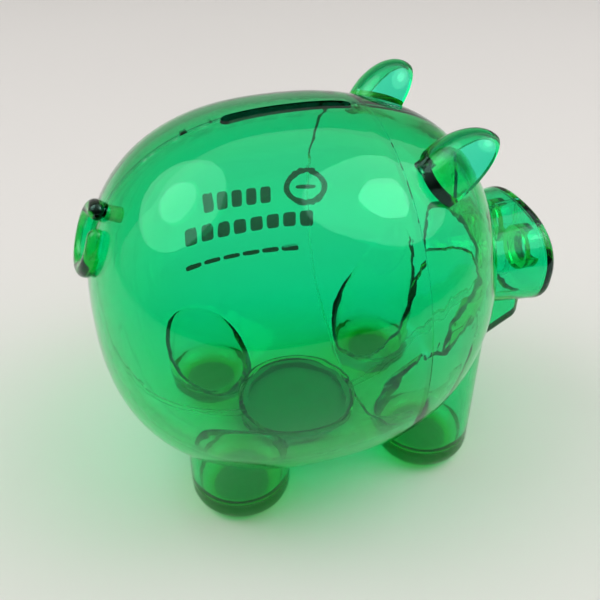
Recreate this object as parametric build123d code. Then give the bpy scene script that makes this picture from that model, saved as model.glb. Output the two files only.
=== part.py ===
from build123d import *
import math
import os

# A see-through money pig: four moulded shell quarters, two ears, a tail and a belly stopper.
# Sizes are in millimetres. While the parts are worked out, the origin is the middle of the round
# body, X points forward to the snout, Y to the pig's left and Z up. At the end the parts are
# moved together, so that the origin is on the floor under the middle of the whole pig.

# Body: round about its long axis, with a full lengthwise outline
body_half_length = 57.0
body_radius = 53.5
body_fullness = 2.4          # exponent of the outline: 2 is an ellipse, more is fuller
belly_height = 3.7           # belly above the floor
wall = 2.0

# Head
neck_x = 21.6                # the ring seam behind the ears
head_rise = 6.2              # how far the front end sits above the body's axis
head_rise_power = 1.6
head_end_radius = 7.0        # the rounded head stops here, inside the snout

# Legs
leg_radius = 14.8
sole_thickness = 5.5
foot_round = 6.0
rim_round = 3.0              # inside, where a leg's well opens into the body
front_leg_gap = 0.8          # front legs stand this far ahead of the ring seam
hind_leg_gap = 0.2           # hind legs stand this far behind the stopper's flange
hind_leg_y = 23.6
front_leg_y = 21.8

# Snout: a wide oval that flares to a flat face, with two blind nostrils
snout_reach = 19.0           # face ahead of the body's front end
snout_half_width = 22.0
snout_half_height = 15.0
snout_flare = 2.5            # the root is this much smaller all round
snout_fullness = 2.4
snout_z = -0.5
snout_root = 0.75            # it starts this share of the way from the neck to the head's end
snout_edge = 2.2
nostril_radius = 4.6
nostril_depth = 4.5
nostril_y = 8.0
nostril_z = 2.5

# Jaw: a lip under the snout, its underside sloping back to the head
jaw_setback = 4.5            # behind the snout face
jaw_half_width = 15.5
jaw_front_z = -18.0
jaw_slope = 0.62
jaw_root = 0.45              # as snout_root
jaw_corner = 4.0
jaw_edge = 2.5

# Coin slot, on the back, on the midline
slot_length = 34.4
slot_width = 3.8
slot_x = -0.2

# Ears: half of a hollow ellipsoid each, open to the front and closed by a foot at the root
ear_length = 14.8
ear_half_width = 9.5
ear_depth = 9.6
ear_wall = 1.8
ear_foot = 1.6
ear_x = 35.7                 # the root, on the head
ear_angle = 31.9             # degrees of the root from upright, about the head's centre line
ear_lean = (0.648, 0.215, 0.730)
ear_back = (-0.736, -0.069, 0.673)
peg_radius = 2.0
peg_depth = 4.5
peg_clearance = 0.1

# Tail: most of a ring that lies on the rump
tail_ring_radius = 8.0
tail_radius = 2.4
tail_z = 24.2
tail_tilt = 22.0             # degrees from upright
tail_arc = 300.0             # degrees of the ring
tail_sink = 1.9              # ring's tube sunk into the rump, at the middle of the ring

# Belly hole and its stopper
hole_radius = 18.0
collar_wall = 1.4
collar_height = 6.5
collar_gap = 0.3             # the collar ends this far behind the ring seam
plug_clearance = 0.15
flange_overlap = 1.2
flange_thickness = 1.5
stem_length = 5.5
stem_wall = 1.6
grip_depth = 3.4
grip_rim = 4.7               # from the flange's edge to the finger recess
grip_bar = 3.0

# Seams: a tongue in a rebate along the midline, a plain butt joint round the neck
seam_gap = 0.12
neck_gap = 0.05
tongue_length = 1.8
tongue_clearance = 0.1
tongue_step = 0.02           # the tongue's inside stands this far out from the shell's inside

far = 200.0                  # larger than the pig
floor_z = -(body_radius + belly_height)
seat_z = -body_radius        # the stopper's flange seats here
plug_x = neck_x - collar_gap - collar_wall - hole_radius
front_leg_x = neck_x + front_leg_gap + leg_radius
hind_leg_reach = hole_radius + flange_overlap + hind_leg_gap + leg_radius
hind_leg_x = plug_x - math.sqrt(hind_leg_reach**2 - hind_leg_y**2)
snout_face_x = body_half_length + snout_reach
snout_root_x = neck_x + (body_half_length - neck_x) * snout_root
jaw_root_x = neck_x + (body_half_length - neck_x) * jaw_root


def outline_radius(x, inset):
    """Body radius at x, for a body that is inset smaller all round."""
    share = min(abs(x) / (body_half_length - inset), 1.0)
    return (body_radius - inset) * (1 - share**body_fullness) ** (1 / body_fullness)


def outline_point(angle, inset):
    """A point of the body's outline; angle 0 is the tail end and 180 the head end."""
    across = -math.cos(math.radians(angle))
    x = (body_half_length - inset) * math.copysign(abs(across) ** (2 / body_fullness), across)
    return (x, outline_radius(x, inset))


def outline_angle(x, inset):
    """The angle of the outline's point at x."""
    across = abs(x / (body_half_length - inset)) ** (body_fullness / 2)
    return math.degrees(math.acos(-math.copysign(across, x)))


def rise_at(x):
    """Height of the head's centre line above the body's axis."""
    along = max(0.0, x - neck_x) / (body_half_length - neck_x)
    return head_rise * along**head_rise_power


def block(x=(-far, far), y=(-far, far), z=(-far, far)):
    """A box between the given limits."""
    size = [b - a for a, b in (x, y, z)]
    centre = [(a + b) / 2 for a, b in (x, y, z)]
    return Pos(*centre) * Box(*size)


def rear_body(inset):
    """The body from the tail end to the neck, turned about its long axis."""
    end_angle = outline_angle(neck_x, inset)
    steps = 24
    points = [outline_point(end_angle * i / steps, inset) for i in range(steps + 1)]
    close = outline_point(end_angle + 0.5, inset)
    slope = (close[1] - points[-1][1]) / (close[0] - points[-1][0])
    outline = Spline(*points, tangents=[(0, 1), (1, slope)])
    closing = Polyline(points[-1], (points[-1][0], 0), points[0])
    return revolve(make_face([outline, closing]), Axis.X)


def head_body(inset):
    """The body ahead of the neck: round sections whose centres rise towards the snout."""
    start_angle = outline_angle(neck_x, inset)
    end_share = 1 - (head_end_radius / (body_radius - inset)) ** body_fullness
    end_x = (body_half_length - inset) * end_share ** (1 / body_fullness)
    end_angle = outline_angle(end_x, inset)
    steps = 10
    sections = []
    for i in range(steps + 1):
        x, radius = outline_point(start_angle + (end_angle - start_angle) * i / steps, inset)
        sections.append(Plane(origin=(x, 0, rise_at(x)), z_dir=(1, 0, 0)) * Circle(radius))
    return loft(sections)


def leg(x, y, inset):
    """One leg: an upright round post with a rounded foot, reaching up inside the body."""
    sole = floor_z + inset * sole_thickness / wall
    post = extrude(Pos(x, y, sole) * Circle(leg_radius - inset), -sole)
    return fillet(post.edges().group_by(Axis.Z)[0], foot_round - inset / 2)


def oval(x, half_width, half_height):
    """A full oval across the snout."""
    points = []
    count = 24
    for i in range(count):
        turn = 2 * math.pi * i / count
        c, s = math.cos(turn), math.sin(turn)
        y = half_width * math.copysign(abs(c) ** (2 / snout_fullness), c)
        z = snout_z + half_height * math.copysign(abs(s) ** (2 / snout_fullness), s)
        points.append((x, y, z))
    return make_face([Spline(*points, periodic=True)])


def snout(inset):
    """The snout from inside the head to its face, less the nostrils' own walls if inset."""
    face_x = snout_face_x - inset
    front = oval(face_x, snout_half_width - inset, snout_half_height - inset)
    root = oval(snout_root_x, snout_half_width - snout_flare - inset, snout_half_height - snout_flare - inset)
    shape = loft([root, front])
    shape = fillet(shape.faces().sort_by(Axis.X)[-1].edges(), snout_edge - inset / 2)
    if inset:
        for side in (-1, 1):
            shape -= nostril(side, inset)
    return shape


def nostril(side, grow):
    """A round blind recess in the snout's face, grown by a wall where asked."""
    deep = nostril_depth + grow
    centre = Plane(origin=(snout_face_x, side * nostril_y, nostril_z), z_dir=(-1, 0, 0))
    return extrude(centre * Circle(nostril_radius + grow), deep)


def jaw(inset):
    """The lower lip, with a sloping underside and rounded front corners."""
    front_x = snout_face_x - jaw_setback - inset
    top_z = snout_z - snout_half_height / 2
    front_z = jaw_front_z + inset
    root_z = front_z - jaw_slope * (front_x - jaw_root_x)
    side = Plane.XZ.offset(-(jaw_half_width - inset))
    front_edge = ((front_x, top_z), (front_x, front_z))
    outline = Polyline((jaw_root_x, top_z), *front_edge, (jaw_root_x, root_z), close=True)
    shape = extrude(side * make_face(outline), 2 * (jaw_half_width - inset))
    shape = fillet(shape.edges().filter_by(Axis.Z).group_by(Axis.X)[-1], jaw_corner - inset)
    lower_lip = [e for e in shape.edges() if e.center().Z < front_z + 0.1 and e.center().X > front_x - jaw_corner]
    return fillet(lower_lip, jaw_edge - inset)


def barrel(inset):
    """Body and head alone."""
    return rear_body(inset) + head_body(inset)


def core(inset):
    """Body, head, snout and jaw, without the legs."""
    return barrel(inset) + snout(inset) + jaw(inset)


def form(inset):
    """The whole pig; inside, the rims of the legs' wells are rounded."""
    body = barrel(inset)
    legs = []
    for x, y in ((hind_leg_x, hind_leg_y), (front_leg_x, front_leg_y)):
        legs += [leg(x, -y, inset), leg(x, y, inset)]
    shape = body + legs
    if inset:
        shape = fillet(new_edges(body, *legs, combined=shape), rim_round)
    return shape + snout(inset) + jaw(inset)


def openings():
    """Everything cut out of the finished shell: belly hole, coin slot, nostrils, peg holes."""
    cuts = Pos(plug_x, 0, floor_z) * extrude(Circle(hole_radius), 4 * collar_height)
    cuts += Pos(slot_x, 0, 0) * extrude(SlotOverall(slot_length, slot_width), far)
    cuts += tail_peg(peg_clearance)
    for side in (-1, 1):
        cuts += nostril(side, 0)
        cuts += ear_peg(side, peg_clearance)
    return cuts


def shell_quarter(side, x_limits):
    """One quarter of the shell: a left one has the midline's rebate, a right one its tongue."""
    quarter = form(0) & block(x=x_limits, y=(seam_gap / 2, far))
    quarter -= form(wall)
    collar = Pos(plug_x, 0, seat_z) * extrude(Circle(hole_radius + collar_wall), collar_height)
    if max(x_limits) < far:
        quarter += collar & block(y=(seam_gap / 2, far))
    if side > 0:
        quarter -= core(wall / 2) & block(y=(-tongue_length, tongue_length + tongue_clearance))
    else:
        tongue = core(wall / 2 + tongue_clearance) & block(x=x_limits, y=(-tongue_length, tongue_length))
        quarter = mirror(quarter, Plane.XZ) + (tongue - core(wall - tongue_step))
    return quarter - openings()


def ear_plane(side):
    """An ear's own frame: X along the ear to its tip, Z out of its rounded back."""
    angle = math.radians(ear_angle)
    radius = outline_radius(ear_x, 0)
    root = (ear_x, radius * math.sin(angle), rise_at(ear_x) + radius * math.cos(angle))
    origin, lean, back = [(x, side * y, z) for x, y, z in (root, ear_lean, ear_back)]
    return Plane(origin=origin, x_dir=lean, z_dir=back)


def ear_peg(side, grow):
    """The peg that holds an ear, from its root through the head's wall."""
    root = Pos(0, 0, ear_depth - ear_wall) * Rot(0, -90, 0) * Circle(peg_radius + grow)
    return extrude(ear_plane(side) * root, peg_depth)


def ear(side):
    """A scoop open to the front, closed at its root by a foot that sits on the head."""
    outside = scale(Sphere(1), by=(ear_length, ear_half_width, ear_depth))
    inside = scale(
        Sphere(1), by=(ear_length - ear_wall, ear_half_width - ear_wall, ear_depth - ear_wall)
    )
    back_half = block(z=(0, far))
    solid = ear_plane(side) * (outside & back_half)
    scoop = ear_plane(side) * ((outside - inside) & back_half)
    foot = solid & head_body(-ear_foot)
    return scoop + foot - head_body(0) + ear_peg(side, 0)


def tail_plane():
    """The tail ring's frame: its middle beside the rump, X up the ring, Z away from the body."""
    angle = math.radians(tail_tilt)
    away = (-math.cos(angle), 0, math.sin(angle))
    upward = (math.sin(angle), 0, math.cos(angle))
    rump_x = -body_half_length * (1 - (tail_z / body_radius) ** body_fullness) ** (1 / body_fullness)
    standoff = tail_radius - tail_sink
    middle = (rump_x + standoff * away[0], 0, tail_z + standoff * away[2])
    return Plane(origin=middle, x_dir=upward, z_dir=away)


def tail_peg(grow):
    """The peg at the top of the tail ring, into the rump."""
    foot = Pos(tail_ring_radius, 0, -peg_depth - tail_radius) * Circle(peg_radius + grow)
    return extrude(tail_plane() * foot, peg_depth + tail_radius)


def tail():
    """Most of a ring of round section, with rounded ends and a peg."""
    path = CenterArc((0, 0, 0), tail_ring_radius, 0, tail_arc)
    ring = sweep(Plane(origin=path @ 0, z_dir=path % 0) * Circle(tail_radius), path)
    for end in (path @ 0, path @ 1):
        ring += Pos(*end) * Sphere(tail_radius)
    return tail_plane() * ring - rear_body(0) + tail_peg(0)


def belly_plug():
    """The stopper: a flange, a hollow stem and a finger recess with a grip bar across it."""
    stem_radius = hole_radius - plug_clearance
    flange_radius = hole_radius + flange_overlap
    grip_radius = flange_radius - grip_rim
    shape = Pos(0, 0, seat_z - flange_thickness) * extrude(Circle(flange_radius), flange_thickness)
    shape += Pos(0, 0, seat_z) * extrude(Circle(stem_radius), stem_length)
    recess_top = seat_z - flange_thickness + grip_depth
    shape -= Pos(0, 0, seat_z - flange_thickness) * extrude(Circle(grip_radius), grip_depth)
    hollow_floor = recess_top + stem_wall
    shape -= Pos(0, 0, hollow_floor) * extrude(Circle(stem_radius - stem_wall), stem_length)
    shape += Pos(0, 0, recess_top - grip_depth / 2) * Box(2 * grip_radius, grip_bar, grip_depth)
    return Pos(plug_x, 0, 0) * shape


behind_neck = (-far, neck_x - neck_gap / 2)
ahead_of_neck = (neck_x + neck_gap / 2, far)
parts = {
    "body_shell_left": shell_quarter(1, behind_neck),
    "body_shell_right": shell_quarter(-1, behind_neck),
    "head_shell_left": shell_quarter(1, ahead_of_neck),
    "head_shell_right": shell_quarter(-1, ahead_of_neck),
    "ear_left": ear(1),
    "ear_right": ear(-1),
    "tail": tail(),
    "belly_plug": belly_plug(),
}

middle = Compound(children=[p.solid() for p in parts.values()]).bounding_box().center()
os.makedirs("parts", exist_ok=True)
for name, part in parts.items():
    export_step(Pos(-middle.X, 0, -floor_z) * part, f"parts/{name}.step")
print("moved along X by", round(-middle.X, 3), "and along Z by", -floor_z)
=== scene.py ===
import math
import bpy
import numpy as np
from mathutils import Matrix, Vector


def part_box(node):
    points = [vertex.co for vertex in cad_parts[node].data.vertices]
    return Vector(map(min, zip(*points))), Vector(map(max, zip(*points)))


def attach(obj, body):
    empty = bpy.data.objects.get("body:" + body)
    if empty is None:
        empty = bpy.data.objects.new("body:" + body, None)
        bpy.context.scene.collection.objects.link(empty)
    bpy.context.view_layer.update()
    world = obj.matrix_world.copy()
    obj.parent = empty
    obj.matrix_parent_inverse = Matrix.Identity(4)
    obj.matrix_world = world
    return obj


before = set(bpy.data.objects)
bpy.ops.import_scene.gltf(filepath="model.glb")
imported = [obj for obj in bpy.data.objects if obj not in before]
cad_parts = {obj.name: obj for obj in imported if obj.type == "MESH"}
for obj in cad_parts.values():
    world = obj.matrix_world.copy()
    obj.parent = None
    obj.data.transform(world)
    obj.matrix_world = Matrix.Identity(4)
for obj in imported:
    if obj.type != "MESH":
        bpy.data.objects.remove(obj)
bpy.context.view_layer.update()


# ---------------------------------------------------------------- shell quarters
# Four shells of clear green styrene, 2 mm thick: two behind the neck with the hind legs, two
# ahead of it with the front legs, snout and jaw. They are welded to each other, tongue in rebate
# along the back and belly, and edge to edge round the neck.

def group_socket(group, name, kind, way, value=None):
    """A named input or output on a node group."""
    socket = group.interface.new_socket(name=name, in_out=way, socket_type=kind)
    if value is not None:
        socket.default_value = value


def handling_wear():
    """Node group: hairline scuffs and dull finger marks on a polished moulding, as a roughness."""
    group = bpy.data.node_groups.new("handling_wear", "ShaderNodeTree")
    group_socket(group, "Polish", "NodeSocketFloat", "INPUT", 0.03)
    group_socket(group, "Scuff", "NodeSocketFloat", "INPUT", 0.1)
    group_socket(group, "Roughness", "NodeSocketFloat", "OUTPUT")
    nodes, link = group.nodes, group.links.new
    given, result = nodes.new("NodeGroupInput"), nodes.new("NodeGroupOutput")
    place = nodes.new("ShaderNodeTexCoord")
    stretch = nodes.new("ShaderNodeMapping")
    stretch.inputs["Scale"].default_value = (90.0, 900.0, 400.0)
    stretch.inputs["Rotation"].default_value = (0.3, 0.5, 0.8)
    lines = nodes.new("ShaderNodeTexNoise")
    lines.inputs["Scale"].default_value = 1.0
    lines.inputs["Detail"].default_value = 3.0
    keep_lines = nodes.new("ShaderNodeMapRange")
    keep_lines.inputs["From Min"].default_value = 0.66
    keep_lines.inputs["From Max"].default_value = 0.74
    marks = nodes.new("ShaderNodeTexNoise")
    marks.inputs["Scale"].default_value = 55.0
    marks.inputs["Detail"].default_value = 4.0
    keep_marks = nodes.new("ShaderNodeMapRange")
    keep_marks.inputs["From Min"].default_value = 0.55
    keep_marks.inputs["From Max"].default_value = 0.8
    keep_marks.inputs["To Max"].default_value = 0.35
    both = nodes.new("ShaderNodeMath")
    both.operation = "MAXIMUM"
    rough = nodes.new("ShaderNodeMath")
    rough.operation = "MULTIPLY_ADD"
    link(place.outputs["Object"], stretch.inputs["Vector"])
    link(stretch.outputs["Vector"], lines.inputs["Vector"])
    link(lines.outputs["Fac"], keep_lines.inputs["Value"])
    link(place.outputs["Object"], marks.inputs["Vector"])
    link(marks.outputs["Fac"], keep_marks.inputs["Value"])
    link(keep_lines.outputs["Result"], both.inputs[0])
    link(keep_marks.outputs["Result"], both.inputs[1])
    link(both.outputs["Value"], rough.inputs[0])
    link(given.outputs["Scuff"], rough.inputs[1])
    link(given.outputs["Polish"], rough.inputs[2])
    link(rough.outputs["Value"], result.inputs["Roughness"])
    return group


def mould_flow():
    """Node group: the slow waviness that cooling leaves in a moulded wall, as a height."""
    group = bpy.data.node_groups.new("mould_flow", "ShaderNodeTree")
    group_socket(group, "Scale", "NodeSocketFloat", "INPUT", 30.0)
    group_socket(group, "Height", "NodeSocketFloat", "OUTPUT")
    nodes, link = group.nodes, group.links.new
    given, result = nodes.new("NodeGroupInput"), nodes.new("NodeGroupOutput")
    place = nodes.new("ShaderNodeTexCoord")
    waves = nodes.new("ShaderNodeTexNoise")
    waves.inputs["Detail"].default_value = 1.0
    link(place.outputs["Object"], waves.inputs["Vector"])
    link(given.outputs["Scale"], waves.inputs["Scale"])
    link(waves.outputs["Fac"], result.inputs["Height"])
    return group


wear, flow = handling_wear(), mould_flow()


def clear_styrene(name, absorbs, density, scuff):
    """Tinted clear plastic: refracting, darker where light crosses more of it, lightly worn."""
    material = bpy.data.materials.new(name)
    material.use_nodes = True
    nodes, link = material.node_tree.nodes, material.node_tree.links.new
    plastic = nodes["Principled BSDF"]
    plastic.inputs["Base Color"].default_value = (0.86, 1.0, 0.94, 1.0)
    plastic.inputs["Transmission Weight"].default_value = 1.0
    plastic.inputs["IOR"].default_value = 1.55
    plastic.inputs["Specular Tint"].default_value = (0.45, 1.0, 0.80, 1.0)
    worn = nodes.new("ShaderNodeGroup")
    worn.node_tree = wear
    worn.inputs["Polish"].default_value = 0.015
    worn.inputs["Scuff"].default_value = scuff
    link(worn.outputs["Roughness"], plastic.inputs["Roughness"])
    wavy = nodes.new("ShaderNodeGroup")
    wavy.node_tree = flow
    wavy.inputs["Scale"].default_value = 28.0
    bump = nodes.new("ShaderNodeBump")
    bump.inputs["Strength"].default_value = 0.25
    bump.inputs["Distance"].default_value = 0.0006
    link(wavy.outputs["Height"], bump.inputs["Height"])
    link(bump.outputs["Normal"], plastic.inputs["Normal"])
    tint = nodes.new("ShaderNodeVolumeAbsorption")
    tint.inputs["Color"].default_value = absorbs
    tint.inputs["Density"].default_value = density
    lamp_light = nodes.new("ShaderNodeBsdfTransparent")
    lamp_light.inputs["Color"].default_value = (0.93, 0.97, 0.95, 1.0)
    path = nodes.new("ShaderNodeLightPath")
    seen = nodes.new("ShaderNodeMixShader")
    link(path.outputs["Is Shadow Ray"], seen.inputs["Fac"])
    link(plastic.outputs["BSDF"], seen.inputs[1])
    link(lamp_light.outputs["BSDF"], seen.inputs[2])
    link(seen.outputs["Shader"], nodes["Material Output"].inputs["Surface"])
    link(tint.outputs["Volume"], nodes["Material Output"].inputs["Volume"])
    return material


def finish_node(node, material):
    """Gives a frame node its finish."""
    for slot in bpy.data.objects[node].material_slots:
        slot.material = material


green_shell = clear_styrene("clear_green_shell", (0.0, 0.970, 0.835, 1.0), 1500.0, 0.10)
for quarter in ("body_shell_left", "body_shell_right", "head_shell_left", "head_shell_right"):
    finish_node(quarter, green_shell)


# ---------------------------------------------------------------- ears
# Two hollow scoops of the same styrene, each closed at its root by a foot that sits on the head.
# A peg goes through the head's wall and is glued.

green_ear = clear_styrene("clear_green_ear", (0.0, 0.965, 0.800, 1.0), 1500.0, 0.06)
finish_node("ear_left", green_ear)
finish_node("ear_right", green_ear)


# ---------------------------------------------------------------- tail
# A curl of solid round section, of the same styrene, glued into the rump by a peg at its top.

green_tail = clear_styrene("clear_green_tail", (0.0, 0.960, 0.800, 1.0), 1500.0, 0.06)
finish_node("tail", green_tail)


# ---------------------------------------------------------------- belly stopper
# A stopper of soft green polythene, pushed into the belly hole from below. Its flange stops
# against the collar, and a bar across the finger recess gives a grip to pull it out. Its colour is
# its own green darkened with painted shade, for the shadow it sits in under the belly.

def shade_darkened_polythene(name):
    """Cloudy soft plastic: light passes through it scattered, and its surface is waxy; its green is darkened
    with painted shade.
    """
    material = bpy.data.materials.new(name)
    material.use_nodes = True
    nodes, link = material.node_tree.nodes, material.node_tree.links.new
    plastic = nodes["Principled BSDF"]
    plastic.inputs["Subsurface Weight"].default_value = 0.6
    plastic.inputs["Subsurface Radius"].default_value = (0.0006, 0.003, 0.0015)
    plastic.inputs["Specular IOR Level"].default_value = 0.4
    clouds = nodes.new("ShaderNodeTexNoise")
    clouds.inputs["Scale"].default_value = 120.0
    clouds.inputs["Detail"].default_value = 3.0
    place = nodes.new("ShaderNodeTexCoord")
    link(place.outputs["Object"], clouds.inputs["Vector"])
    shades = nodes.new("ShaderNodeValToRGB")
    # Painted shade: these ramp colours are the stopper's own green, darkened for the shadow under the belly;
    # the noise varies them at random.
    shades.color_ramp.elements[0].color = (0.002, 0.13, 0.050, 1.0)
    shades.color_ramp.elements[1].color = (0.003, 0.18, 0.070, 1.0)
    link(clouds.outputs["Fac"], shades.inputs["Fac"])
    link(shades.outputs["Color"], plastic.inputs["Base Color"])
    worn = nodes.new("ShaderNodeGroup")
    worn.node_tree = wear
    worn.inputs["Polish"].default_value = 0.32
    worn.inputs["Scuff"].default_value = 0.25
    link(worn.outputs["Roughness"], plastic.inputs["Roughness"])
    return material


finish_node("belly_plug", shade_darkened_polythene("green_stopper_with_painted_shade"))


# ---------------------------------------------------------------- printed mark
# A plain mark in dark ink, screen printed on the left flank: a ring like a coin, two rows of
# blocks and a thin line. The ink is a tenth of a millimetre deep, level with the plastic.

rear_low, rear_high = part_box("body_shell_left")
girth_radius, half_length = rear_high[1], 0.057
body_middle = np.array([rear_low[0] + half_length, 0.0, rear_high[2] - girth_radius])


def ink_shape(x, z, half_width, half_height, power, hole):
    """A closed piece on the flank, between |u/w|^n + |v/h|^n = s^n for s from the hole to 1.

    It lies at y = R(x) * sqrt(1 - ((z - rise) / R(x))^2) - depth, depth 0 and 0.1 mm, where
    R(x) = girth * (1 - |x / half_length|^2.4)^(1/2.4) and rise = 6.2 mm * ((x - 21.6) / 35.4)^1.6.
    """
    turn = np.linspace(0, 2 * math.pi, 48, endpoint=False)
    c, s = np.cos(turn), np.sin(turn)
    edge_x = half_width * np.sign(c) * np.abs(c) ** (2 / power)
    edge_z = half_height * np.sign(s) * np.abs(s) ** (2 / power)
    shares = np.linspace(hole if hole else 0.25, 1.0, 4)
    loop_shares = np.concatenate([shares, shares[::-1]])
    depths = np.repeat([0.0, 0.0001], 4)
    px = (x + loop_shares[:, None] * edge_x).ravel()
    pz = (z + loop_shares[:, None] * edge_z).ravel()
    depth = np.repeat(depths, 48)
    row, column = np.meshgrid(np.arange(8 if hole else 7), np.arange(48), indexing="ij")
    corners = [(row, column), (row, column + 1), (row + 1, column + 1), (row + 1, column)]
    faces = np.stack([(a % 8 * 48 + b % 48).ravel() for a, b in corners], -1).tolist()
    if not hole:
        px, pz, depth = np.append(px, [x, x]), np.append(pz, [z, z]), np.append(depth, [0.0, 0.0001])
        faces += [(384, (k + 1) % 48, k) for k in range(48)]
        faces += [(385, 336 + k, 336 + (k + 1) % 48) for k in range(48)]
    radius = girth_radius * (1 - np.abs(px / half_length) ** 2.4) ** (1 / 2.4)
    rise = 0.0062 * (np.maximum(px - 0.0216, 0.0) / 0.0354) ** 1.6
    py = np.sqrt(radius**2 - (pz - rise) ** 2) - depth
    return np.stack([px, py, pz], -1) + body_middle, faces


def dark_ink():
    """Screen ink: near black green, matt, a little uneven in cover."""
    material = bpy.data.materials.new("dark_ink")
    material.use_nodes = True
    nodes, link = material.node_tree.nodes, material.node_tree.links.new
    face = nodes["Principled BSDF"]
    face.inputs["Specular IOR Level"].default_value = 0.25
    place = nodes.new("ShaderNodeTexCoord")
    cover = nodes.new("ShaderNodeTexNoise")
    cover.inputs["Scale"].default_value = 900.0
    shades = nodes.new("ShaderNodeValToRGB")
    shades.color_ramp.elements[0].color = (0.004, 0.022, 0.014, 1.0)
    shades.color_ramp.elements[1].color = (0.010, 0.050, 0.032, 1.0)
    rough = nodes.new("ShaderNodeMapRange")
    rough.inputs["To Min"].default_value = 0.45
    rough.inputs["To Max"].default_value = 0.65
    link(place.outputs["Object"], cover.inputs["Vector"])
    link(cover.outputs["Fac"], shades.inputs["Fac"])
    link(shades.outputs["Color"], face.inputs["Base Color"])
    link(cover.outputs["Fac"], rough.inputs["Value"])
    link(rough.outputs["Result"], face.inputs["Roughness"])
    return material


ink_shapes = [(0.0212, 0.0025, 0.0076, 0.0068, 2.0, 0.74), (0.0212, 0.0025, 0.0034, 0.0009, 3.0, 0.0)]
ink_shapes += [(x, 0.0005, 0.0019, 0.0034, 5.0, 0.0) for x in np.linspace(-0.0140, 0.0070, 5)]
ink_shapes += [(x, -0.0105, 0.0023, 0.0036, 5.0, 0.0) for x in np.linspace(-0.0215, 0.0215, 8)]
ink_shapes += [(x, -0.0212, 0.0031, 0.0007, 4.0, 0.0) for x in np.linspace(-0.0220, 0.0145, 6)]
ink_points, ink_faces = [], []
for shape in ink_shapes:
    shape_points, shape_faces = ink_shape(*shape)
    first_point = len(ink_points)
    ink_points += shape_points.tolist()
    ink_faces += [[first_point + k for k in face] for face in shape_faces]
ink_mesh = bpy.data.meshes.new("printed_mark")
ink_mesh.from_pydata(ink_points, [], ink_faces)
printed_mark = bpy.data.objects.new("printed_mark", ink_mesh)
ink_mesh.materials.append(dark_ink())
bpy.context.scene.collection.objects.link(printed_mark)
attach(printed_mark, "bank")


# ---------------------------------------------------------------- studio
# A plain pale table that runs up into a backdrop, in a room that is bright above and behind. Two
# large round lamps, each brighter in the middle, stand behind the tail and ahead of the snout.
# None of it is part of the pig.

def backdrop_sheet():
    """The table and the wall behind it: flat, then a quarter round, then upright, along Y."""
    flat, bend, height, half_width = 0.9, 0.5, 1.8, 2.4
    turn = np.linspace(0.1, math.pi / 2, 14)
    run = np.concatenate([np.linspace(-1.6, flat, 12), flat + bend * np.sin(turn)])
    climb = np.concatenate([np.zeros(12), bend * (1 - np.cos(turn))])
    run, climb = np.append(run, flat + bend), np.append(climb, height)
    across = np.linspace(-half_width, half_width, 9)
    y, x = np.meshgrid(run, across, indexing="ij")
    z = np.repeat(climb[:, None], len(across), axis=1)
    points = np.stack([x, y, z], -1).reshape(-1, 3)
    rows, columns = y.shape
    first = (np.arange(rows - 1)[:, None] * columns + np.arange(columns - 1)).ravel()
    faces = np.stack([first, first + 1, first + columns + 1, first + columns], -1)
    mesh = bpy.data.meshes.new("backdrop")
    mesh.from_pydata(points.tolist(), [], faces.tolist())
    mesh.shade_smooth()
    return bpy.data.objects.new("backdrop", mesh)


backdrop = backdrop_sheet()
bpy.context.scene.collection.objects.link(backdrop)
paper = bpy.data.materials.new("matt_paper")
paper.use_nodes = True
grain = paper.node_tree.nodes.new("ShaderNodeTexNoise")
grain.inputs["Scale"].default_value = 6.0
paper_shades = paper.node_tree.nodes.new("ShaderNodeValToRGB")
paper_shades.color_ramp.elements[0].color = (0.70, 0.685, 0.665, 1.0)
paper_shades.color_ramp.elements[1].color = (0.75, 0.735, 0.715, 1.0)
paper_face = paper.node_tree.nodes["Principled BSDF"]
paper_face.inputs["Roughness"].default_value = 0.8
paper_face.inputs["Specular IOR Level"].default_value = 0.2
paper.node_tree.links.new(grain.outputs["Fac"], paper_shades.inputs["Fac"])
paper.node_tree.links.new(paper_shades.outputs["Color"], paper_face.inputs["Base Color"])
backdrop.data.materials.append(paper)

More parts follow.
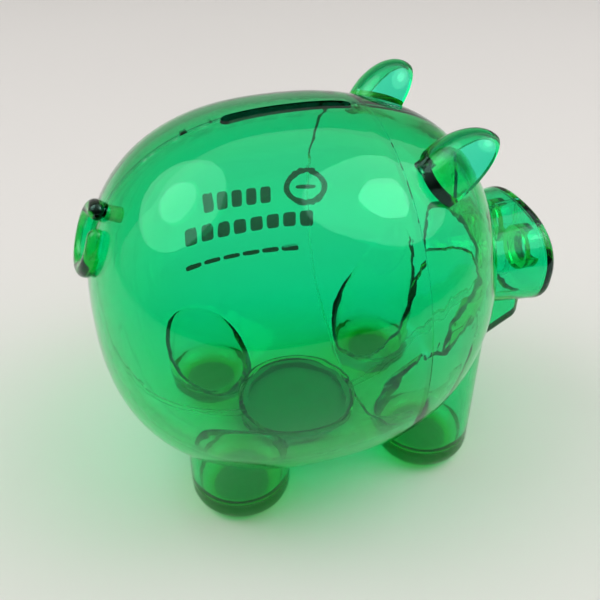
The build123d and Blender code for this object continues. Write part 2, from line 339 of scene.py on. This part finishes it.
room = bpy.data.worlds.new("room")
room.use_nodes = True
room.node_tree.nodes["Background"].inputs["Color"].default_value = (1.0, 0.97, 0.945, 1.0)
room_way = room.node_tree.nodes.new("ShaderNodeTexCoord")
lit_side = room.node_tree.nodes.new("ShaderNodeVectorMath")
lit_side.operation = "DOT_PRODUCT"
lit_side.inputs[1].default_value = (0.10, 0.72, 0.68)
room_light = room.node_tree.nodes.new("ShaderNodeMapRange")
room_light.inputs["From Min"].default_value = -0.35
room_light.inputs["From Max"].default_value = 0.75
room_light.inputs["To Min"].default_value = 0.08
room_light.inputs["To Max"].default_value = 1.0
room.node_tree.links.new(room_way.outputs["Generated"], lit_side.inputs[0])
room.node_tree.links.new(lit_side.outputs["Value"], room_light.inputs["Value"])
room.node_tree.links.new(room_light.outputs["Result"], room.node_tree.nodes["Background"].inputs["Strength"])
bpy.context.scene.world = room


def soft_lamp(name, direction, distance, width, height, power):
    """A round lamp at a distance along a direction from the pig, facing it."""
    lamp = bpy.data.lights.new(name, "AREA")
    lamp.shape = "ELLIPSE"
    lamp.size, lamp.size_y, lamp.energy = width, height, power
    thing = bpy.data.objects.new(name, lamp)
    way = np.array(direction) / np.linalg.norm(direction)
    thing.location = np.array([0.0, 0.0, 0.055]) + distance * way
    thing.rotation_euler = Vector(way).to_track_quat("Z", "Y").to_euler()
    bpy.context.scene.collection.objects.link(thing)


soft_lamp("lamp_behind_tail", (-0.62, 0.25, 0.75), 1.0, 0.95, 0.95, 3.2)
soft_lamp("bulb_behind_tail", (-0.62, 0.25, 0.75), 0.9, 0.36, 0.36, 0.5)
soft_lamp("lamp_ahead_of_snout", (0.58, -0.20, 0.79), 1.0, 0.95, 0.95, 3.2)
soft_lamp("bulb_ahead_of_snout", (0.58, -0.20, 0.79), 0.9, 0.36, 0.36, 0.8)

# The camera is 226 mm from a point just off the middle of the body, 17.5 degrees behind the
# pig's right side and 36.6 degrees above it.
lens_mm, sensor_mm = 45.96, 36.0
camera_distance = 0.2261
camera_behind, camera_above = math.radians(17.53), math.radians(36.56)
aim = body_middle + np.array([0.00191, -0.00439, -0.00488])
toward = np.array([
    -math.sin(camera_behind) * math.cos(camera_above),
    -math.cos(camera_behind) * math.cos(camera_above),
    math.sin(camera_above),
])
camera = bpy.data.objects.new("camera", bpy.data.cameras.new("camera"))
camera.data.lens, camera.data.sensor_width = lens_mm, sensor_mm
camera.data.clip_start = 0.01
camera.location = aim + camera_distance * toward
camera.rotation_euler = (math.pi / 2 - camera_above, 0.0, -camera_behind)
bpy.context.scene.collection.objects.link(camera)
bpy.context.scene.camera = camera
bpy.context.scene.view_settings.view_transform = "Standard"
bpy.context.scene.cycles.max_bounces = 32
bpy.context.scene.cycles.transmission_bounces = 32
bpy.context.scene.cycles.transparent_max_bounces = 32
